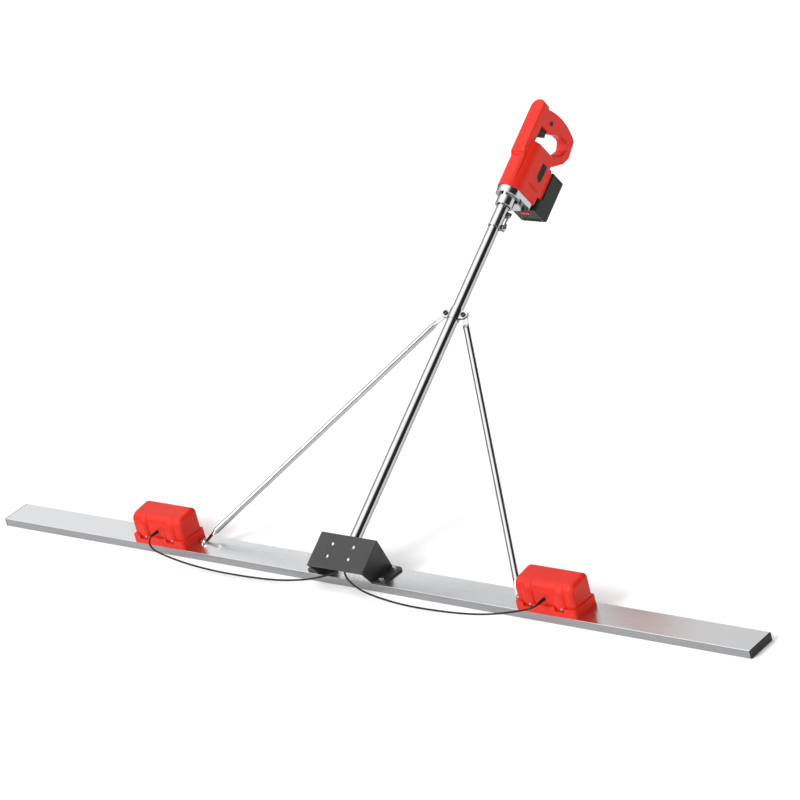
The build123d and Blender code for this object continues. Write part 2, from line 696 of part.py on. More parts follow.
def sleeve_lever():
    outline = [(20.5, 1113), (25.5, 1116.5), (25.5, 1106), (24.2, 1090), (29.5, 1086.5), (28, 1084.5),
               (20.8, 1084.5)]
    lever = extrude(Plane.XZ.location * face_of(outline), amount=3.9, both=True)
    lever += rod_y(3.6, -3.9, 3.9, 23.0, 1113.0)
    lever -= rod_y(2.05, -10, 10, 23.0, 1113.0)
    return only_solid(CLAMP * lever)


def lever_pin():
    pin = rod_y(2.0, -8.2, 8.2, 23.0, 1113.0)
    pin += rod_y(3.0, -9.4, -7.4, 23.0, 1113.0)
    pin += rod_y(3.0, 7.4, 9.4, 23.0, 1113.0)
    return only_solid(CLAMP * pin)


def clamp_screw():
    screw = rod_y(2.5, -14.0, 7.0, 24.0, 1073.0)
    screw += Pos(24.0, 6.0, 1073.0) * Rot(-90, 0, 0) * hexagon(8, 0, 4)
    return only_solid(CLAMP * screw)


def clamp_knob():
    knob = rod_y(6.2, -15.0, -6.6, 24.0, 1073.0)
    knob = fillet(knob.edges().filter_by(GeomType.CIRCLE), 1.2)
    for step in range(10):
        turn = math.radians(36 * step)
        x = 24.0 + 6.9 * math.cos(turn)
        z = 1073.0 + 6.9 * math.sin(turn)
        knob -= rod_y(1.4, -17, -5, x, z)
    knob -= rod_y(2.55, -14.4, -5, 24.0, 1073.0)
    return only_solid(CLAMP * knob)


# ---------------------------------------------------------------- power head
def arch(radius, bottom_y):
    """Body section: round on top, straight sides, flat underneath; drawn in the pole's XY."""
    section = Circle(radius) + Pos(0, bottom_y / 2) * Rectangle(2 * radius, bottom_y)
    corners = section.vertices().sort_by(Axis.Y)[-2:]
    return fillet(corners, 6.0)


def head_casting():
    plate = Pos(0, 0, RING_LOW + 4) * extrude(arch(BODY_RADIUS - 3, BODY_BOTTOM_Y - 5), amount=16)
    ring = rod(BODY_RADIUS - 2.5, RING_LOW, BODY_LOW)
    ring = chamfer(ring.edges().filter_by(GeomType.CIRCLE).sort_by(Axis.Z)[0], 1.5)
    neck = rod(NECK_RADIUS, CASTING_LOW, RING_LOW + 1)
    neck = fillet(neck.edges().filter_by(GeomType.CIRCLE).sort_by(Axis.Z)[0], 1.5)
    wedge_outline = [(0, 1132), (20, 1132), (65, 1160), (65, 1170), (0, 1170)]
    casting = plate + ring + neck + side_prism(face_of(wedge_outline), 20.0)
    for x, y in CASTING_SCREWS:
        casting += rod(5.4, RING_LOW, RING_LOW + 8, x, y)
    casting -= rod(SPIGOT_RADIUS, CASTING_LOW - 1, SPIGOT_HIGH)
    casting -= rod(10.5, SPIGOT_HIGH - 1, BODY_LOW + 1)
    for x, y in CASTING_SCREWS:
        casting -= rod(2.3, RING_LOW - 1, BODY_LOW + 1, x, y)
    return only_solid(POLE * casting)


def swivel_spigot():
    """Steel tube pressed into the casting, turning in the clamp sleeve."""
    spigot = rod(SPIGOT_RADIUS, POLE_END + 1.0, SPIGOT_HIGH)
    return POLE * (spigot - rod(10.5, POLE_END, SPIGOT_HIGH + 1))


CASTING_SCREWS = [(side * x, y) for side in (-1, 1) for x, y in ((27.5, 24.0), (28.0, 59.0))]


def casting_screws():
    screws = []
    for x, y in CASTING_SCREWS:
        screw = rod(4.2, RING_LOW - 3.4, RING_LOW, x, y) + rod(2.2, RING_LOW - 1, BODY_LOW + 7.5, x, y)
        screw -= hexagon(3, RING_LOW - 4, RING_LOW - 1.6, x, y)
        screws.append(only_solid(POLE * screw))
    return screws


def body_form(inset):
    """Motor-style body of the head, or with an inset the room inside it."""
    radius = BODY_RADIUS - inset
    bottom = BODY_BOTTOM_Y - inset
    low = BODY_LOW + inset
    top = BODY_TOP - inset
    dip = BODY_DIP_TOP - inset
    form = Pos(0, 0, low) * extrude(arch(radius, bottom), amount=top - low)
    side = [(-radius - 1, low), (-radius - 1, dip), (-12, dip), (5, top), (bottom, top), (bottom, low)]
    form &= side_prism(face_of(side, {4: 34.0}), 60)
    front = face_of([(-radius, low), (-radius, top), (radius, top), (radius, low)], {1: 14.0})
    front = fillet(front.vertices().sort_by_distance(Vector(radius, top))[0], 14.0)
    form &= extrude(Plane.XZ.location * front, amount=120, both=True)
    return form


def body_skirts():
    """Side walls that reach down past the body's floor and guard the battery rail."""
    outline = face_of([(BODY_BOTTOM_Y - 8, SKIRT_LOW), (SKIRT_Y, SKIRT_LOW), (SKIRT_Y, SKIRT_HIGH - 10),
                       (SKIRT_Y - 10, SKIRT_HIGH), (BODY_BOTTOM_Y - 8, SKIRT_HIGH)], {1: 2.0, 2: 3.0})
    middle = (SKIRT_INNER_X + BODY_RADIUS) / 2
    thick = (BODY_RADIUS - SKIRT_INNER_X) / 2
    return side_prism(outline, thick, middle) + side_prism(outline, thick, -middle)


def loop_outline(inset):
    """Outer outline of the D-handle's loop as (y, z)."""
    sketch = make_face([
        Polyline((-5, 1431), (SPINE_FRONT_Y + 6, 1431), (SPINE_FRONT_Y + 6, 1290), (66, 1290),
                 (96, 1316), (130, 1347), (141, 1371), (133, 1421)),
        ThreePointArc((133, 1421), (64, 1440), (-5, 1431)),
    ])
    for corner, radius in (((133, 1421), 9.0), ((141, 1371), 12.0), ((130, 1347), 12.0)):
        vertex = sketch.vertices().sort_by_distance(Vector(*corner))[0]
        sketch = fillet(vertex, radius)
    return offset(sketch, amount=-inset) if inset else sketch


def hand_hole(outset):
    """Outline of the hand opening as (y, z)."""
    points = [(SPINE_BACK_Y, 1312), (SPINE_BACK_Y, GRIP_INNER), (32, GRIP_INNER), (76, 1401),
              (105, 1402), (116, 1380), (104, 1358), (80, 1344), (50, 1326), (44, 1312)]
    face = face_of(points, {1: 4.0, 2: 30.0, 3: 30.0, 4: 12.0, 5: 10.0, 6: 16.0})
    return offset(face, amount=outset) if outset else face


def spine(inset):
    """Spine of the handle with its rounded end."""
    half = SPINE_HALF_WIDTH - inset
    outline = [(SPINE_FRONT_Y + inset, TONGUE_CENTRE), (SPINE_BACK_Y - inset, TONGUE_CENTRE),
               (SPINE_BACK_Y - inset, SPINE_LOW - 32), (-27, SPINE_LOW - 30),
               (SPINE_FRONT_Y + 2.5 + inset, SPINE_LOW - 16), (SPINE_FRONT_Y + inset, SPINE_LOW)]
    bar = side_prism(face_of(outline), half)
    tongue = rod_y(half, SPINE_FRONT_Y + inset, SPINE_BACK_Y - inset, 0, TONGUE_CENTRE)
    tongue &= block(-half, half, -60, 60, TONGUE_CENTRE - 1, TONGUE_CENTRE + half + 1)
    return bar + tongue


def head_form():
    loop = side_prism(loop_outline(0) - hand_hole(0), HANDLE_HALF_WIDTH)
    sides = loop.faces().filter_by(lambda face: abs(abs(face.center().X) - HANDLE_HALF_WIDTH) < 0.01)
    loop = fillet(sides.edges(), 5.0)
    bar = spine(0)
    rims = bar.edges().filter_by(lambda edge: abs(edge.center().Y - SPINE_FRONT_Y) < 0.01)
    bar = fillet([edge for edge in rims if edge.center().Z > SPINE_LOW + 1], 4.0)
    form = body_form(0) + body_skirts() + loop + bar
    form -= block(-40, 40, -40, -34.0, 1206, 1272)
    return form


def head_room():
    grip = side_prism(loop_outline(4.0) - hand_hole(4.0), HANDLE_HALF_WIDTH - 4.0)
    return body_form(SHELL_WALL) + grip + spine(4.0)


SHELL_SCREWS = [(72.0, 1406.0), (-28.0, 1345.0), (128.0, 1385.0), (-28.0, 1418.0), (50.0, 1196.0),
                (84.0, 1326.0)]
DIMPLES = [(26.5, 1417.0), (72.0, 1406.0)]


def vent_outline():
    return face_of([(32, 1290.5), (51.5, 1290.5), (55, 1279), (53, 1246), (45.5, 1234.5), (31, 1249)],
                   {0: 3.0, 1: 2.0, 4: 2.0})


def head_shell():
    """Left half of the red housing, in the pole's frame."""
    form = head_form()
    room = head_room()
    for y, z in SHELL_SCREWS:
        room -= rod_x(4.5, -40, 40, y, z)
    keep = block(-80, 0, -80, 200, 1100, 1500)
    shell = (form & keep) - (room & keep)
    shell -= block(-10.3, 10.3, TRIGGER_Y - 18.3, TRIGGER_Y + 18.3, GRIP_INNER - 8, GRIP_INNER + 8)
    wall = 1.0 - BODY_RADIUS
    shell -= side_prism(vent_outline(), 5.0, wall)
    for step in range(9):
        y = 13 + 5.2 * step
        reach = 4.5 * math.cos(math.radians(18 * (step - 4)))
        shell -= block(wall - 4, wall + 4, y - 0.9, y + 0.9, 1214 - reach, 1216 + reach)
    shell -= Rot(0, 0, -40) * block(-1.3, 1.3, -BODY_RADIUS - 2, -BODY_RADIUS + 2.2, 1206, 1276)
    for x, y in CASTING_SCREWS:
        shell -= rod(2.5, BODY_LOW - 1, BODY_LOW + 9, x, y)
    shell -= block(-18.3, 18.3, BODY_BOTTOM_Y - 4, BODY_BOTTOM_Y + 1, DOCK_LOW + 4, DOCK_HIGH - 4)
    shell -= rod(10.5, BODY_LOW - 1, BODY_LOW + 5)
    return shell


def head_shells():
    """Both halves; screws enter from the left, and the right one has the lock button's hole."""
    left = head_shell()
    right = mirror(left, Plane.YZ)
    for y, z in SHELL_SCREWS:
        face_x = screw_face(y, z)
        left -= rod_x(1.8, -60, 1, y, z)
        left -= rod_x(4.0, -face_x - 2.2, -face_x + 2.2, y, z)
        right -= rod_x(1.8, -1, 11, y, z)
    for y, z in DIMPLES:
        right -= rod_x(2.4, HANDLE_HALF_WIDTH - 1.0, HANDLE_HALF_WIDTH + 5, y, z)
    right -= rod_x(BUTTON_RADIUS + 0.3, 12, 30, BUTTON_Y, BUTTON_Z)
    return only_solid(POLE * left), only_solid(POLE * right)


def screw_face(y, z):
    """Distance of the shell's outer face from the seam where a screw sits."""
    if y < 0:
        return SPINE_HALF_WIDTH
    return BODY_RADIUS if z < 1200 else HANDLE_HALF_WIDTH


def shell_screws():
    screws = []
    for y, z in SHELL_SCREWS:
        face_x = screw_face(y, z)
        head = rod_x(3.6, 0.2 - face_x, 2.2 - face_x, y, z)
        head -= block(-face_x - 1, 1.2 - face_x, y - 2.4, y + 2.4, z - 0.5, z + 0.5)
        head -= block(-face_x - 1, 1.2 - face_x, y - 0.5, y + 0.5, z - 2.4, z + 2.4)
        screw = head + rod_x(1.7, 1.5 - face_x, 10.5, y, z)
        screws.append(only_solid(POLE * screw))
    return screws


def vent_grilles():
    grilles = []
    inner_face = offset(vent_outline(), amount=-0.15)
    for side in (-1, 1):
        x = side * (BODY_RADIUS - 1.6)
        grille = side_prism(inner_face, 1.9, x)
        for step in range(5):
            grille -= Pos(0, 43, 1248 + 8.5 * step) * Box(200, 15, 2.2)
        grilles.append(only_solid(POLE * grille))
    return grilles


def trigger():
    outline = [(-8.5, 1386), (-8.5, 1360), (13, 1355), (29, 1364.5), (26.5, 1370), (26.5, 1386)]
    body = side_prism(face_of(outline, {1: 4.0, 2: 10.0, 3: 2.5}), 9.5)
    body = fillet(body.edges().filter_by(lambda edge: abs(abs(edge.center().X) - 9.5) < 0.01
                                         and edge.center().Z < 1384), 2.0)
    body += block(-12.5, 12.5, -10, 28, 1384, 1387)
    body -= rod(4.2, 1374.4, 1390, 0, 9)
    return only_solid(POLE * body)


def helix_spring(radius, wire, pitch, height):
    """Round-wire compression spring standing on the XY plane."""
    path = Helix(pitch=pitch, height=height, radius=radius)
    start = Plane(origin=path @ 0, z_dir=path % 0)
    return sweep(start.location * Circle(wire), path=path, is_frenet=True)


def trigger_spring():
    return POLE * Pos(0, 9, 1375.0) * helix_spring(2.9, 0.5, 2.6, 22.4)


def trigger_switch():
    body = block(-8.5, 8.5, -8, 27, 1398, 1424)
    body = chamfer(body.edges().filter_by(Axis.X), 2.0)
    body += block(-2, 2, -4, 0, 1394.5, 1399)
    return only_solid(POLE * body)


def lock_button():
    button = rod_x(BUTTON_RADIUS, 13.2, HANDLE_HALF_WIDTH + 1.6, BUTTON_Y, BUTTON_Z)
    button = fillet(button.edges().filter_by(GeomType.CIRCLE).sort_by(Axis.X)[-1], 1.0)
    button += rod_x(BUTTON_RADIUS + 1.4, 12.2, 13.8, BUTTON_Y, BUTTON_Z)
    return only_solid(POLE * button)


def control_board():
    board = block(-24, 24, 30, 31.6, 1192, 1282)
    chips = [(-12, 1210, 14, 10, 5), (10, 1214, 8, 8, 9), (8, 1240, 16, 12, 3), (-12, 1262, 10, 16, 7)]
    for x, z, w, h, t in chips:
        board += block(x - w / 2, x + w / 2, 30 - t, 31, z - h / 2, z + h / 2)
    return only_solid(POLE * board)


def heat_sink():
    sink = block(-20, 20, 31.6, 34.6, 1200, 1275)
    for step in range(7):
        x = -18 + 6 * step
        sink += block(x - 1, x + 1, 34, 46, 1200, 1275)
    return only_solid(POLE * sink)


def battery_dock():
    """T-rail under the body that the battery slides on."""
    y = BODY_BOTTOM_Y
    dock = block(-18, 18, y - 8, y + 6, DOCK_LOW + 5, DOCK_HIGH - 5)
    dock += block(-24, 24, y + 6, y + 10, DOCK_LOW, DOCK_HIGH)
    dock += block(-28, 28, y - 8, y - 3.2, DOCK_LOW + 2, DOCK_HIGH - 2)
    for x in (-10, 0, 10):
        dock -= block(x - 0.6, x + 0.6, y + 4, y + 12, 1262, 1284)
    return only_solid(POLE * dock)


def battery_contacts():
    blades = []
    for x in (-10, 0, 10):
        blades.append(only_solid(POLE * block(x - 0.6, x + 0.6, 74, 83.5, 1262, 1284)))
    return blades


def battery_case():
    seam = BATTERY_TOP_Y + LID_DEPTH
    case = block(-BATTERY_HALF_WIDTH, BATTERY_HALF_WIDTH, seam, BATTERY_BOTTOM_Y, BATTERY_LOW, BATTERY_HIGH)
    below = case.edges().filter_by(Axis.X).sort_by(Axis.Y)[-2:].sort_by(Axis.Z)
    case = chamfer(below[-1], 8.0)
    below = case.edges().filter_by(Axis.X).sort_by(Axis.Z)[:2].sort_by(Axis.Y)
    case = chamfer(below[-1], 8.0)
    case = fillet(case.edges().filter_by(Axis.Z).sort_by(Axis.Y)[-2:], 9.0)
    case = fillet(case.edges().filter_by(Axis.Y), 4.0)
    case -= block(-38.5, 38.5, seam - 1, BATTERY_BOTTOM_Y - 9, BATTERY_LOW + 9, BATTERY_HIGH - 4)
    case -= button_pocket(seam - 1, BUTTON_FAR_Y + 0.4)
    for step in range(6):
        x = -25 + 10 * step
        case += block(x - 2.2, x + 2.2, BATTERY_BOTTOM_Y - 19, BATTERY_BOTTOM_Y - 10,
                      BATTERY_LOW - 1.8, BATTERY_LOW + 2)
    return only_solid(POLE * case)


def button_pocket(y0, y1):
    """Room for the release button, across the seam of the case and the lid."""
    half = RELEASE_HALF_WIDTH + 0.4
    return block(-half, half, y0, y1, BATTERY_LOW - 1, BATTERY_LOW + 9)


def battery_lid():
    y = BATTERY_TOP_Y
    seam = y + LID_DEPTH
    lid = block(-BATTERY_HALF_WIDTH, BATTERY_HALF_WIDTH, y, seam, BATTERY_LOW, BATTERY_HIGH)
    lid = chamfer(lid.edges().filter_by(Axis.Z).sort_by(Axis.Y)[:2], 5.0)
    lid = fillet(lid.edges().filter_by(Axis.Y), 4.0)
    for side in (-1, 1):
        inner = side * (SKIRT_INNER_X - 0.6)
        outer = side * (BATTERY_HALF_WIDTH + 1)
        lid -= block(min(inner, outer), max(inner, outer), y - 1, SKIRT_Y + 0.5,
                     SKIRT_LOW - 0.6, BATTERY_HIGH + 1)
    lid -= block(-18.5, 18.5, y - 1, y + 6, DOCK_LOW - 0.5, BATTERY_HIGH + 1)
    lid -= block(-24.5, 24.5, y + 3.5, y + 8.5, DOCK_LOW - 0.5, BATTERY_HIGH + 1)
    for x in (-10, 0, 10):
        lid -= block(x - 1.2, x + 1.2, y + 7, y + 12, 1180, BATTERY_HIGH + 1)
    lid -= button_pocket(BUTTON_NEAR_Y - 0.4, seam + 1)
    return only_solid(POLE * lid)


def battery_button():
    button = block(-RELEASE_HALF_WIDTH, RELEASE_HALF_WIDTH, BUTTON_NEAR_Y, BUTTON_FAR_Y,
                   BATTERY_LOW - 1.8, BATTERY_LOW + 4.5)
    button = fillet(button.edges().filter_by(Axis.Z), 3.0)
    button = fillet(button.faces().sort_by(Axis.Z)[0].edges(), 1.4)
    return only_solid(POLE * button)


def battery_cells():
    cells = []
    for row in range(2):
        for column in range(5):
            y = BATTERY_TOP_Y + LID_DEPTH + 11.5 + 19.2 * row
            z = BATTERY_LOW + 24.5 + 19.2 * column
            cells.append(only_solid(POLE * rod_x(9.2, -32.5, 32.5, y, z)))
    return cells


# ---------------------------------------------------------------- all nodes
def main():
    os.makedirs("parts", exist_ok=True)
    save("board_extrusion", board_extrusion())
    save("end_cap_left", end_cap(-1))
    save("end_cap_right", end_cap(1))
    save("bracket", bracket())
    save("bracket_foot_bolts", bracket_foot_bolts())
    save("plate_screws", plate_screws())
    save("pole_clamp_block", pole_clamp_block())
    save("junction_box", junction_box())
    save("junction_glands", junction_glands())
    save("pole_tube", pole_tube())
    save("strut_collar_upper", strut_collar(-1))
    save("strut_collar_lower", strut_collar(1))
    save("collar_bolts", collar_bolts())
    save("collar_nuts", collar_nuts())
    right_strut = strut()
    save("strut_right", right_strut)
    save("strut_left", mirror(right_strut, Plane.YZ))
    save("strut_foot_bolts", strut_foot_bolts())

    unit = {
        "vibrator_cover": [vibrator_cover()],
        "vibrator_base": [vibrator_base()],
        "vibrator_motor": [vibrator_motor()],
        "vibrator_saddle": [vibrator_saddle()],
        "rotor_shaft": [rotor_shaft()],
        "eccentric_weights": eccentric_weights(),
    }
    shared = {
        "base_bolts": vibrator_base_bolts(),
        "cover_screws": vibrator_cover_screws(),
        "motor_bearings": vibrator_bearings(),
        "cable_boots": [cable_boot()],
    }
    left = Pos(-UNIT_X, 0, BOARD_HEIGHT)
    right = Pos(UNIT_X, 0, BOARD_HEIGHT)
    for name, solids in unit.items():
        save(f"{name}_left", [left * solid for solid in solids])
        save(f"{name}_right", [right * solid for solid in solids])
    for name, solids in shared.items():
        save(name, [place * solid for place in (left, right) for solid in solids])

    save("cord_left", cord("cord_left", CORD_LEFT_ROUTE))
    save("cord_right", cord("cord_right", CORD_RIGHT_ROUTE))

    save("clamp_sleeve", clamp_sleeve())
    save("sleeve_lever", sleeve_lever())
    save("lever_pin", lever_pin())
    save("clamp_screw", clamp_screw())
    save("clamp_knob", clamp_knob())
    save("head_casting", head_casting())
    save("swivel_spigot", swivel_spigot())
    save("casting_screws", casting_screws())
    left_shell, right_shell = head_shells()
    save("head_shell_left", left_shell)
    save("head_shell_right", right_shell)
    save("shell_screws", shell_screws())
    save("vent_grilles", vent_grilles())
    save("trigger", trigger())
    save("trigger_spring", trigger_spring())
    save("trigger_switch", trigger_switch())
    save("lock_button", lock_button())
    save("control_board", control_board())
    save("heat_sink", heat_sink())
    save("battery_dock", battery_dock())
    save("battery_contacts", battery_contacts())
    save("battery_case", battery_case())
    save("battery_lid", battery_lid())
    save("battery_button", battery_button())
    save("battery_cells", battery_cells())


main()
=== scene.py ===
import bpy
import json
import math
from mathutils import Matrix, Vector


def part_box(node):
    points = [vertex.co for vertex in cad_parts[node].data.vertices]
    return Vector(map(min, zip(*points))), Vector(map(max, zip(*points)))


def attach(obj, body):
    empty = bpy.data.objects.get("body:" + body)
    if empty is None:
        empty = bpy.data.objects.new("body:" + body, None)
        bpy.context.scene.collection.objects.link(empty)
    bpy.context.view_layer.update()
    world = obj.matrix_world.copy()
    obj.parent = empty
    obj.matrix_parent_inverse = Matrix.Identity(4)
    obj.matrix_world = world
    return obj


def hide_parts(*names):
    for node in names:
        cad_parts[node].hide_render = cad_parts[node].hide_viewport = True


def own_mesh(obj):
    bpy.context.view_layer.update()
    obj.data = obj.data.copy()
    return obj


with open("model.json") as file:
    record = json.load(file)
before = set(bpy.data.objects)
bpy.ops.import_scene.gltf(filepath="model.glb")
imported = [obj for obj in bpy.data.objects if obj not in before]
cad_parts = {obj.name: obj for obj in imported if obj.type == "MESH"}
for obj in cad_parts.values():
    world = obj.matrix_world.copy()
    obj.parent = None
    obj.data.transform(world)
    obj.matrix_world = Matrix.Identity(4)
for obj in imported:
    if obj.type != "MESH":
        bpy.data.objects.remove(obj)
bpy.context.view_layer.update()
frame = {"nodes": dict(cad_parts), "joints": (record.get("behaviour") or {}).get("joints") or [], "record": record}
scene = bpy.context.scene


# ---------------------------------------------------------------- camera
CAMERA_PLACE = (5.8031, -5.5105, 3.9984)
CAMERA_BACK = (0.64525, -0.64734, 0.40571)
CAMERA_AZIMUTH = 44.907
CAMERA_ROLL = -14.504
LENS_MM = 158.436
SENSOR_MM = 36.0
VIEW_DEPTH = 100.0


def add_camera():
    """Long lens, turned by its azimuth and roll about the line of sight."""
    azimuth = math.radians(CAMERA_AZIMUTH)
    roll = math.radians(CAMERA_ROLL)
    back = Vector(CAMERA_BACK).normalized()
    right = Vector((math.cos(azimuth), math.sin(azimuth), 0.0))
    up = back.cross(right)
    x_axis = right * math.cos(roll) + up * math.sin(roll)
    y_axis = up * math.cos(roll) - right * math.sin(roll)
    data = bpy.data.cameras.new("camera")
    data.lens = LENS_MM
    data.sensor_width = SENSOR_MM
    data.clip_end = VIEW_DEPTH
    camera = bpy.data.objects.new("camera", data)
    scene.collection.objects.link(camera)
    matrix = Matrix((x_axis, y_axis, back)).transposed().to_4x4()
    matrix.translation = Vector(CAMERA_PLACE)
    camera.matrix_world = matrix
    scene.camera = camera


add_camera()


# ---------------------------------------------------------------- shader helpers
# Sockets of a Mix node that mixes colours: its two inputs and its result.
MIX_FIRST, MIX_SECOND, MIX_RESULT = 6, 7, 2


class Nodes:
    """Small wrapper that adds nodes to a material and links them."""

    def __init__(self, name):
        self.material = bpy.data.materials.new(name)
        self.material.use_nodes = True
        self.tree = self.material.node_tree
        self.shader = self.tree.nodes["Principled BSDF"]

    def add(self, kind):
        return self.tree.nodes.new(kind)

    def put(self, socket, value):
        if isinstance(value, bpy.types.NodeSocket):
            self.tree.links.new(value, socket)
        else:
            socket.default_value = value

    def set(self, name, value):
        self.put(self.shader.inputs[name], value)

    def coords(self, scale):
        place = self.add("ShaderNodeTexCoord")
        mapping = self.add("ShaderNodeMapping")
        mapping.inputs["Scale"].default_value = scale
        self.put(mapping.inputs["Vector"], place.outputs["Object"])
        return mapping.outputs["Vector"]

    def noise(self, scale, detail=3.0, rough=0.5, stretch=(1.0, 1.0, 1.0)):
        node = self.add("ShaderNodeTexNoise")
        self.put(node.inputs["Vector"], self.coords(stretch))
        node.inputs["Scale"].default_value = scale
        node.inputs["Detail"].default_value = detail
        node.inputs["Roughness"].default_value = rough
        return node.outputs["Fac"]

    def spread(self, value, low, high, start=0.3, end=0.7):
        node = self.add("ShaderNodeMapRange")
        self.put(node.inputs["Value"], value)
        node.inputs["From Min"].default_value = start
        node.inputs["From Max"].default_value = end
        node.inputs["To Min"].default_value = low
        node.inputs["To Max"].default_value = high
        return node.outputs["Result"]

    def tint(self, value, low, high, start=0.3, end=0.7):
        node = self.add("ShaderNodeValToRGB")
        self.put(node.inputs["Fac"], value)
        node.color_ramp.elements[0].position = start
        node.color_ramp.elements[1].position = end
        node.color_ramp.elements[0].color = (*low, 1.0)
        node.color_ramp.elements[1].color = (*high, 1.0)
        return node.outputs["Color"]

    def bump(self, height, strength, distance):
        node = self.add("ShaderNodeBump")
        self.put(node.inputs["Height"], height)
        node.inputs["Strength"].default_value = strength
        node.inputs["Distance"].default_value = distance
        self.set("Normal", node.outputs["Normal"])


# Noise scales, in waves per metre, and bump heights, in metres.
SHADE_WAVES = 9.0
POLISH_WAVES = 60.0
COAT_SHADE_WAVES = 12.0
COAT_POLISH_WAVES = 40.0
COAT_GRAIN_WAVES = 900.0
DRAW_LINE_WAVES = 900.0
MOULD_GRAIN_HEIGHT = 0.0002
METAL_GRAIN_HEIGHT = 0.0001
DRAW_LINE_HEIGHT = 0.00005
PLASTIC_GLOSS = 0.25
ALONG_X = (0.012, 1.0, 1.0)


def plastic(name, dark, light, rough, grain):
    """Moulded plastic: slow shade changes, uneven polish and a fine grain."""
    n = Nodes(name)
    n.set("Base Color", n.tint(n.noise(SHADE_WAVES), dark, light))
    n.set("Roughness", n.spread(n.noise(POLISH_WAVES), rough - 0.04, rough + 0.05))
    n.set("Specular IOR Level", PLASTIC_GLOSS)
    n.bump(n.noise(grain, 2.0), 0.10, MOULD_GRAIN_HEIGHT)
    return n.material


def metal(name, dark, light, rough, scale=80.0, strength=0.05, edge=1.0):
    """Bare metal; edge is how bright it stays where the surface turns away."""
    n = Nodes(name)
    grain = n.noise(scale, 4.0, 0.6)
    n.set("Metallic", 1.0)
    n.set("Base Color", n.tint(grain, dark, light))
    n.set("Specular Tint", (edge, edge, edge, 1.0))
    n.set("Roughness", n.spread(grain, rough * 0.85, rough * 1.2))
    n.bump(n.noise(scale * 2, 4.0, 0.6), strength, METAL_GRAIN_HEIGHT)
    return n.material


def coated(name, dark, light, rough):
    """Paint or powder coat with a fine orange-peel surface."""
    n = Nodes(name)
    n.set("Base Color", n.tint(n.noise(COAT_SHADE_WAVES), dark, light))
    n.set("Roughness", n.spread(n.noise(COAT_POLISH_WAVES), rough - 0.05, rough + 0.06))
    n.bump(n.noise(COAT_GRAIN_WAVES, 2.0), 0.2, MOULD_GRAIN_HEIGHT)
    return n.material


def extrusion():
    """Fine drawn lines along the board; the steep side walls get a darker copy of the metal colour, which is
    painted shade.
    """
    n = Nodes("board_metal")
    lines = n.noise(DRAW_LINE_WAVES, 3.0, 0.6, ALONG_X)
    n.set("Metallic", 1.0)
    n.set("Roughness", n.spread(lines, 0.20, 0.27))
    top = n.tint(lines, (0.76, 0.77, 0.78), (0.82, 0.83, 0.84))
    # Painted shade: a darker copy of the board metal for the side walls.
    painted_shade_side = n.tint(lines, (0.29, 0.29, 0.30), (0.34, 0.34, 0.35))
    normal = n.add("ShaderNodeSeparateXYZ")
    n.put(normal.inputs[0], n.add("ShaderNodeTexCoord").outputs["Normal"])
    # Painted shade mask: 1 on faces that point sideways, 0 on the upward-facing top, by the surface normal.
    painted_shade_mask = n.spread(normal.outputs["Z"], 1.0, 0.0, 0.2, 0.6)
    mix = n.add("ShaderNodeMix")
    mix.data_type = "RGBA"
    n.put(mix.inputs["Factor"], painted_shade_mask)
    n.put(mix.inputs[MIX_FIRST], top)
    n.put(mix.inputs[MIX_SECOND], painted_shade_side)
    n.set("Base Color", mix.outputs[MIX_RESULT])
    n.bump(lines, 0.02, DRAW_LINE_HEIGHT)
    return n.material


board_metal = extrusion()
chrome = metal("chrome_tube", (0.48, 0.48, 0.49), (0.53, 0.53, 0.54), 0.09,
               scale=20.0, strength=0.01, edge=0.06)
cast_metal = metal("cast_metal", (0.48, 0.48, 0.49), (0.58, 0.58, 0.59), 0.15,
                   scale=300.0, strength=0.12, edge=0.10)
zinc = metal("zinc_steel", (0.50, 0.50, 0.48), (0.60, 0.60, 0.58), 0.26, edge=0.4)
spring_wire = metal("spring_wire", (0.5, 0.5, 0.5), (0.6, 0.6, 0.6), 0.2)
weight_metal = metal("weight_metal", (0.16, 0.16, 0.16), (0.24, 0.24, 0.24), 0.45)
copper = metal("copper_contact", (0.62, 0.40, 0.16), (0.80, 0.56, 0.25), 0.25)
black_steel = coated("black_steel", (0.018, 0.018, 0.018), (0.030, 0.030, 0.030), 0.35)
motor_paint = coated("motor_paint", (0.05, 0.05, 0.055), (0.08, 0.08, 0.085), 0.40)
powder_coat = coated("powder_coat", (0.014, 0.014, 0.015), (0.021, 0.021, 0.022), 0.42)
red_plastic = plastic("red_plastic", (0.61, 0.016, 0.006), (0.66, 0.020, 0.008), 0.40, 700.0)
button_red = plastic("button_red", (0.60, 0.012, 0.010), (0.66, 0.016, 0.012), 0.38, 700.0)
black_plastic = plastic("black_plastic", (0.008, 0.008, 0.009), (0.014, 0.014, 0.015), 0.42, 900.0)
battery_plastic = plastic("battery_plastic", (0.009, 0.012, 0.009), (0.014, 0.018, 0.013), 0.46, 900.0)
board_green = plastic("circuit_green", (0.01, 0.10, 0.04), (0.02, 0.15, 0.06), 0.40, 500.0)
cell_film = plastic("cell_film", (0.02, 0.12, 0.36), (0.03, 0.16, 0.44), 0.25, 500.0)
cord_rubber = plastic("cord_rubber", (0.005, 0.005, 0.005), (0.010, 0.010, 0.010), 0.42, 1200.0)

BY_SLOT = {
    "board_aluminium": board_metal, "black_plastic": black_plastic, "black_powder_coat": powder_coat,
    "zinc_steel": zinc, "black_steel": black_steel, "chrome_tube": chrome, "cast_aluminium": cast_metal,
    "red_plastic": red_plastic, "green_grey_plastic": battery_plastic, "cord_rubber": cord_rubber,
    "motor_steel": motor_paint, "bearing_steel": zinc, "cast_weight": weight_metal,
    "circuit_board": board_green, "copper_contact": copper, "cell_wrap": cell_film,
    "spring_steel": spring_wire, "button_red": button_red,
}


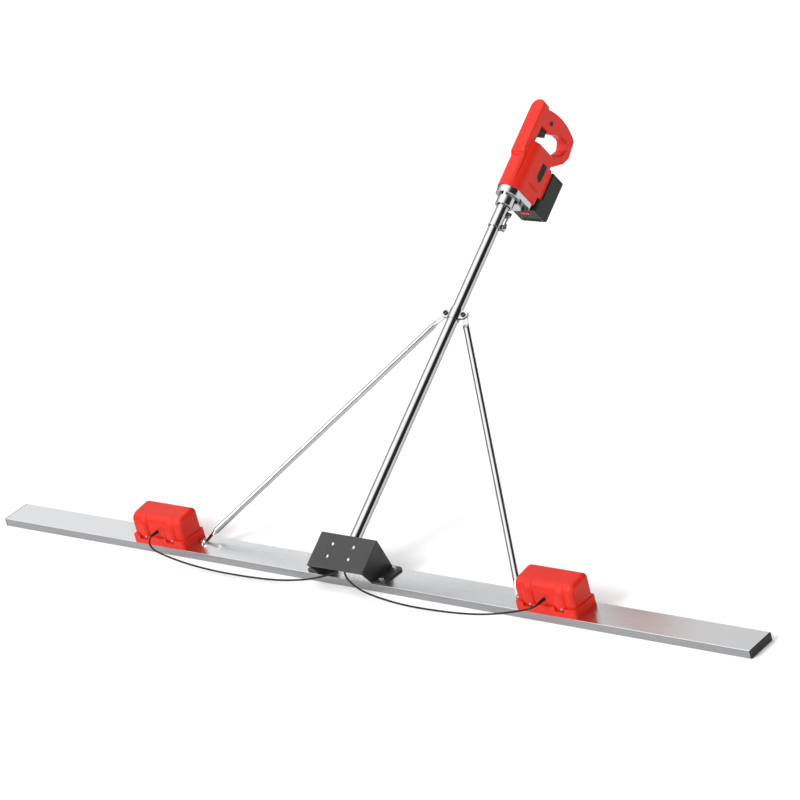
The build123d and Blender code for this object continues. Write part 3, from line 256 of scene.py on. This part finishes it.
def dress_frame():
    """Give each CAD node the material of its slot in the record."""
    slots = {part["node"]: part["material_slot"] for part in frame["record"]["subparts"]}
    for node, obj in frame["nodes"].items():
        material = BY_SLOT[slots[node]]
        for slot in obj.material_slots:
            slot.material = material


dress_frame()


# ---------------------------------------------------------------- cords
CORD_RADIUS = 0.0025

# From the boot at each vibrator to its gland under the bracket.
RIGHT_ROUTE = [
    (0.652, -0.061, 0.062), (0.6512, -0.071, 0.0615), (0.646, -0.079, 0.06), (0.635, -0.084, 0.057),
    (0.616, -0.0875, 0.0525), (0.587, -0.091, 0.0455), (0.551, -0.095, 0.038), (0.507, -0.0985, 0.0305),
    (0.456, -0.1015, 0.025), (0.398, -0.103, 0.021), (0.34, -0.103, 0.0185), (0.283, -0.102, 0.0165),
    (0.229, -0.0995, 0.0165), (0.179, -0.0955, 0.018), (0.135, -0.0905, 0.0205),
    (0.101, -0.0855, 0.024), (0.076, -0.0805, 0.029), (0.057, -0.076, 0.0355), (0.043, -0.0715, 0.0425),
    (0.0335, -0.0665, 0.049), (0.0275, -0.0615, 0.053), (0.024, -0.0546, 0.0559),
]
LEFT_ROUTE = [
    (-0.652, -0.061, 0.062), (-0.6515, -0.0695, 0.058), (-0.6505, -0.076, 0.051),
    (-0.6465, -0.079, 0.0425), (-0.6375, -0.0805, 0.0345), (-0.621, -0.0815, 0.0285),
    (-0.594, -0.083, 0.023), (-0.555, -0.0855, 0.0175), (-0.508, -0.0885, 0.0135),
    (-0.452, -0.091, 0.0105), (-0.394, -0.092, 0.009), (-0.336, -0.0915, 0.0085),
    (-0.279, -0.09, 0.009), (-0.224, -0.0875, 0.01), (-0.172, -0.084, 0.0135), (-0.124, -0.081, 0.02),
    (-0.084, -0.0785, 0.0275), (-0.051, -0.076, 0.0365), (-0.026, -0.072, 0.044),
    (-0.0075, -0.067, 0.0495), (0.0035, -0.0615, 0.053), (0.008, -0.0546, 0.0559),
]


def add_cord(name, route, node):
    """Round rubber cord along the route, in place of the CAD's cord."""
    data = bpy.data.curves.new(name, "CURVE")
    data.dimensions = "3D"
    data.bevel_depth = CORD_RADIUS
    data.bevel_resolution = 4
    data.resolution_u = 12
    data.use_fill_caps = True
    spline = data.splines.new("NURBS")
    spline.points.add(len(route) - 1)
    for point, place in zip(spline.points, route):
        point.co = (*place, 1.0)
    spline.order_u = 3
    spline.use_endpoint_u = True
    obj = bpy.data.objects.new(name, data)
    scene.collection.objects.link(obj)
    data.materials.append(cord_rubber)
    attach(obj, "frame")
    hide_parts(node)
    return obj


add_cord("vibrator_cord_left", LEFT_ROUTE, "cord_left")
add_cord("vibrator_cord_right", RIGHT_ROUTE, "cord_right")


# ---------------------------------------------------------------- trigger spring
COIL_RADIUS = 0.0029
WIRE_RADIUS = 0.0005
COIL_PITCH = 0.0026
SPRING_LENGTH = 0.0224
STEPS_PER_TURN = 18


def add_trigger_spring():
    """Wire coil along the trigger's pull direction, in place of the CAD's spring."""
    along = next(Vector(joint["axis"]) for joint in frame["joints"]
                 if joint["name"] == "trigger_pull")
    across = Vector((1.0, 0.0, 0.0))
    third = along.cross(across)
    low, high = (Vector(corner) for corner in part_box("trigger_spring"))
    start = (low + high) / 2 - along * (SPRING_LENGTH / 2 - WIRE_RADIUS)
    rise = SPRING_LENGTH - 2 * WIRE_RADIUS
    count = round(rise / COIL_PITCH * STEPS_PER_TURN) + 1
    data = bpy.data.curves.new("trigger_coil", "CURVE")
    data.dimensions = "3D"
    data.bevel_depth = WIRE_RADIUS
    data.bevel_resolution = 2
    data.use_fill_caps = True
    spline = data.splines.new("POLY")
    spline.points.add(count - 1)
    for number, point in enumerate(spline.points):
        angle = 2 * math.pi * number / STEPS_PER_TURN
        ring = across * math.cos(angle) + third * math.sin(angle)
        place = start + ring * COIL_RADIUS + along * (rise * number / (count - 1))
        point.co = (*place, 1.0)
    wire = bpy.data.objects.new("trigger_wire", data)
    mesh = bpy.data.meshes.new_from_object(wire)
    bpy.data.objects.remove(wire)
    mesh.materials.clear()
    mesh.materials.append(spring_wire)
    coil = bpy.data.objects.new("trigger_coil", mesh)
    scene.collection.objects.link(coil)
    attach(coil, "head")
    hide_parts("trigger_spring")
    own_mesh(coil)


add_trigger_spring()


# ---------------------------------------------------------------- floor and light
FLOOR_SIZE = 60.0
FLOOR_DROP = 0.0005
FLOOR_WHITE = 0.95


def add_floor():
    """Pale matt floor, just under the board's sole."""
    bpy.ops.mesh.primitive_plane_add(size=FLOOR_SIZE, location=(0.0, 0.0, -FLOOR_DROP))
    floor = bpy.context.object
    floor.name = "floor"
    n = Nodes("floor_white")
    n.set("Base Color", (FLOOR_WHITE, FLOOR_WHITE, FLOOR_WHITE, 1.0))
    n.set("Roughness", 0.9)
    floor.data.materials.append(n.material)


def add_sun(name, toward, strength, spread):
    """Broad soft light from the direction that the vector points to."""
    data = bpy.data.lights.new(name, "SUN")
    data.energy = strength
    data.angle = math.radians(spread)
    light = bpy.data.objects.new(name, data)
    light.rotation_euler = Vector(toward).to_track_quat("Z", "Y").to_euler()
    scene.collection.objects.link(light)


class Surround:
    """World brightness by direction: a level at each height, with soft patches laid over it."""

    def __init__(self):
        world = bpy.data.worlds.new("studio")
        scene.world = world
        world.use_nodes = True
        self.tree = world.node_tree
        self.coords = self.tree.nodes.new("ShaderNodeTexCoord").outputs["Generated"]
        self.background = self.tree.nodes["Background"]

    def link(self, source, target):
        self.tree.links.new(source, target)

    def heights(self, levels):
        """Grey level at each height, from 0 at the horizon to 1 straight up."""
        split = self.tree.nodes.new("ShaderNodeSeparateXYZ")
        self.link(self.coords, split.inputs[0])
        ramp_node = self.tree.nodes.new("ShaderNodeValToRGB")
        self.link(split.outputs["Z"], ramp_node.inputs["Fac"])
        ramp = ramp_node.color_ramp
        while len(ramp.elements) < len(levels):
            ramp.elements.new(0.5)
        for element, (height, level) in zip(ramp.elements, levels):
            element.position = height
            element.color = (level, level, level, 1.0)
        return ramp_node.outputs["Color"]

    def patch(self, below, toward, level, inner, outer):
        """Lay an even soft-edged patch of the given level over what is below it."""
        aim = self.tree.nodes.new("ShaderNodeVectorMath")
        aim.operation = "DOT_PRODUCT"
        self.link(self.coords, aim.inputs[0])
        aim.inputs[1].default_value = Vector(toward).normalized()
        edge = self.tree.nodes.new("ShaderNodeMapRange")
        edge.interpolation_type = "SMOOTHSTEP"
        self.link(aim.outputs["Value"], edge.inputs["Value"])
        edge.inputs["From Min"].default_value = math.cos(math.radians(outer))
        edge.inputs["From Max"].default_value = math.cos(math.radians(inner))
        mix = self.tree.nodes.new("ShaderNodeMix")
        mix.data_type = "RGBA"
        self.link(edge.outputs["Result"], mix.inputs["Factor"])
        self.link(below, mix.inputs[MIX_FIRST])
        mix.inputs[MIX_SECOND].default_value = (level, level, level, 1.0)
        return mix.outputs[MIX_RESULT]

    def use(self, colour):
        self.link(colour, self.background.inputs["Color"])
        self.background.inputs["Strength"].default_value = 1.0


# A patch is its direction, brightness, and the half-angles where it starts and ends its fade.
WALL_BEHIND = ((-0.80, 0.50, 0.25), 0.95, 8.0, 40.0)
WALL_IN_FRONT = ((0.55, -0.80, 0.28), 0.6, 14.0, 42.0)
SOFT_BOX = ((-0.30, -0.20, 0.93), 2.0, 2.0, 55.0)


def add_world():
    """Dim room with a pale wall behind the board, one in front of it and a soft box overhead."""
    room = Surround()
    colour = room.heights([(0.0, 0.30), (0.10, 0.03), (0.6, 0.03), (1.0, 0.10)])
    for patch in (WALL_BEHIND, WALL_IN_FRONT, SOFT_BOX):
        colour = room.patch(colour, *patch)
    room.use(colour)


add_floor()
add_world()
add_sun("key", (-0.30, -0.72, 0.62), 1.6, 25.0)
add_sun("side_fill", (0.85, -0.42, 0.32), 0.95, 12.0)
scene.view_settings.view_transform = "Standard"
